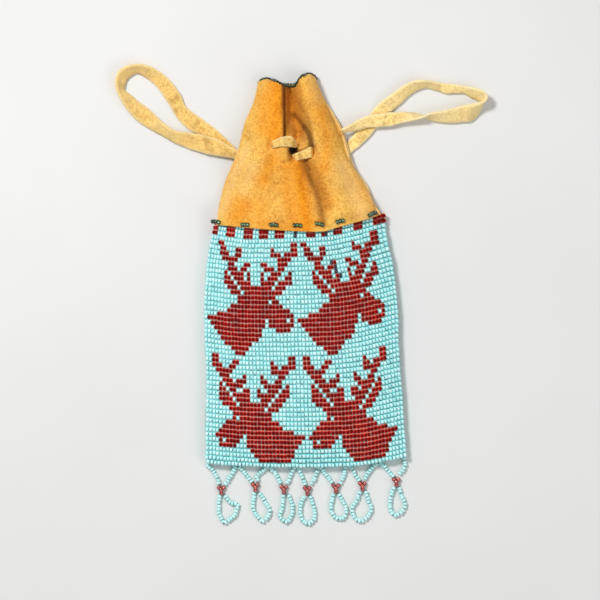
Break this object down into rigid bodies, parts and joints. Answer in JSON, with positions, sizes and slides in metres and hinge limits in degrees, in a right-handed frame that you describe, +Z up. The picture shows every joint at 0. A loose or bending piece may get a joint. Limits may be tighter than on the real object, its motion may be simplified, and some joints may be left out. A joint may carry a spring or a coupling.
{
  "type": "beaded drawstring bag",
  "caption": "Flat loom-beaded pouch with a gathered soft leather neck, two leather drawstring loops at its sides and a fringe of looped bead drops along its bottom edge.",
  "frame": {"origin": "on the plane that the bag lies on, under the middle of the beaded pouch", "axes": "+Y along the bag towards its mouth, +Z up out of the front, +X to the right as the front is seen"},
  "size_m": [0.1685, 0.2091, 0.0189],
  "materials": {
    "turquoise_glass": "small opaque turquoise glass beads, glossy",
    "brick_red_glass": "small translucent dark red glass beads, glossy",
    "dark_green_glass": "small translucent dark green glass beads, glossy",
    "smoked_leather": "soft ochre suede, matt and stained in places",
    "pale_leather": "pale cream suede thong, matt"
  },
  "bodies": {
    "bag": {"beaded_front": "turquoise_glass", "beaded_back": "turquoise_glass", "leather_front": "smoked_leather", "leather_back": "smoked_leather", "mouth_edging": "dark_green_glass", "drawstring_left_stitch": "pale_leather", "drawstring_right_stitch": "pale_leather", "hem_stitch_1": "dark_green_glass", "hem_stitch_2": "dark_green_glass", "hem_stitch_3": "dark_green_glass", "hem_stitch_4": "dark_green_glass", "hem_stitch_5": "dark_green_glass", "hem_stitch_6": "dark_green_glass", "hem_stitch_7": "dark_green_glass"},
    "drawstring_left": {"drawstring_left": "pale_leather"},
    "drawstring_right": {"drawstring_right": "pale_leather"},
    "fringe_1": {"fringe_1_left_strand": "turquoise_glass", "fringe_1_right_strand": "turquoise_glass", "fringe_1_knot": "brick_red_glass"},
    "drop_1": {"drop_1": "turquoise_glass"},
    "fringe_2": {"fringe_2_left_strand": "turquoise_glass", "fringe_2_right_strand": "turquoise_glass", "fringe_2_knot": "brick_red_glass"},
    "drop_2": {"drop_2": "turquoise_glass"},
    "fringe_3": {"fringe_3_left_strand": "turquoise_glass", "fringe_3_right_strand": "turquoise_glass", "fringe_3_knot": "brick_red_glass"},
    "drop_3": {"drop_3": "turquoise_glass"},
    "fringe_4": {"fringe_4_left_strand": "turquoise_glass", "fringe_4_right_strand": "turquoise_glass", "fringe_4_knot": "brick_red_glass"},
    "drop_4": {"drop_4": "turquoise_glass"},
    "fringe_5": {"fringe_5_left_strand": "turquoise_glass", "fringe_5_right_strand": "turquoise_glass", "fringe_5_knot": "brick_red_glass"},
    "drop_5": {"drop_5": "turquoise_glass"},
    "fringe_6": {"fringe_6_left_strand": "turquoise_glass", "fringe_6_right_strand": "turquoise_glass", "fringe_6_knot": "brick_red_glass"},
    "drop_6": {"drop_6": "turquoise_glass"},
    "fringe_7": {"fringe_7_left_strand": "turquoise_glass", "fringe_7_right_strand": "turquoise_glass", "fringe_7_knot": "brick_red_glass"},
    "drop_7": {"drop_7": "turquoise_glass"}
  },
  "joints": [
    {"name": "drawstring_left_pull", "type": "slide", "parent": "bag", "child": "drawstring_left", "axis": [-0.9438, 0.3304, 0], "range_m": [0, 0.008]},
    {"name": "drawstring_right_pull", "type": "slide", "parent": "bag", "child": "drawstring_right", "axis": [0.8387, 0.5446, 0], "range_m": [0, 0.008]},
    {"name": "fringe_1_swing", "type": "hinge", "parent": "bag", "child": "fringe_1", "pos_m": [-0.03748, -0.05289, 0.0021], "axis": [-0.9958, 0.0911, 0], "range_deg": [0, 90]},
    {"name": "drop_1_swing", "type": "hinge", "parent": "fringe_1", "child": "drop_1", "pos_m": [-0.03748, -0.06687, 0.0021], "axis": [-1, 0, 0], "range_deg": [0, 90]},
    {"name": "fringe_2_swing", "type": "hinge", "parent": "bag", "child": "fringe_2", "pos_m": [-0.02217, -0.05379, 0.0021], "axis": [-1, 0, 0], "range_deg": [0, 90]},
    {"name": "drop_2_swing", "type": "hinge", "parent": "fringe_2", "child": "drop_2", "pos_m": [-0.02217, -0.0663, 0.0021], "axis": [-1, 0, 0], "range_deg": [0, 90]},
    {"name": "fringe_3_swing", "type": "hinge", "parent": "bag", "child": "fringe_3", "pos_m": [-0.00933, -0.05412, 0.0021], "axis": [-1, 0, 0], "range_deg": [0, 90]},
    {"name": "drop_3_swing", "type": "hinge", "parent": "fringe_3", "child": "drop_3", "pos_m": [-0.00933, -0.06684, 0.0021], "axis": [-1, 0, 0], "range_deg": [0, 90]},
    {"name": "fringe_4_swing", "type": "hinge", "parent": "bag", "child": "fringe_4", "pos_m": [0.00126, -0.05416, 0.0021], "axis": [-1, 0, 0], "range_deg": [0, 90]},
    {"name": "drop_4_swing", "type": "hinge", "parent": "fringe_4", "child": "drop_4", "pos_m": [0.00126, -0.06709, 0.0021], "axis": [-1, 0, 0], "range_deg": [0, 90]},
    {"name": "fringe_5_swing", "type": "hinge", "parent": "bag", "child": "fringe_5", "pos_m": [0.0141, -0.05394, 0.0021], "axis": [-0.9968, -0.0797, 0], "range_deg": [0, 90]},
    {"name": "drop_5_swing", "type": "hinge", "parent": "fringe_5", "child": "drop_5", "pos_m": [0.0141, -0.06603, 0.0021], "axis": [-1, 0, 0], "range_deg": [0, 90]},
    {"name": "fringe_6_swing", "type": "hinge", "parent": "bag", "child": "fringe_6", "pos_m": [0.02605, -0.05307, 0.0021], "axis": [-0.9979, -0.0649, 0], "range_deg": [0, 90]},
    {"name": "drop_6_swing", "type": "hinge", "parent": "fringe_6", "child": "drop_6", "pos_m": [0.02605, -0.06537, 0.0021], "axis": [-1, 0, 0], "range_deg": [0, 90]},
    {"name": "fringe_7_swing", "type": "hinge", "parent": "bag", "child": "fringe_7", "pos_m": [0.04132, -0.05033, 0.0021], "axis": [-0.9766, -0.2149, 0], "range_deg": [0, 90]},
    {"name": "drop_7_swing", "type": "hinge", "parent": "fringe_7", "child": "drop_7", "pos_m": [0.04132, -0.06263, 0.0021], "axis": [-1, 0, 0], "range_deg": [0, 90]}
  ]
}
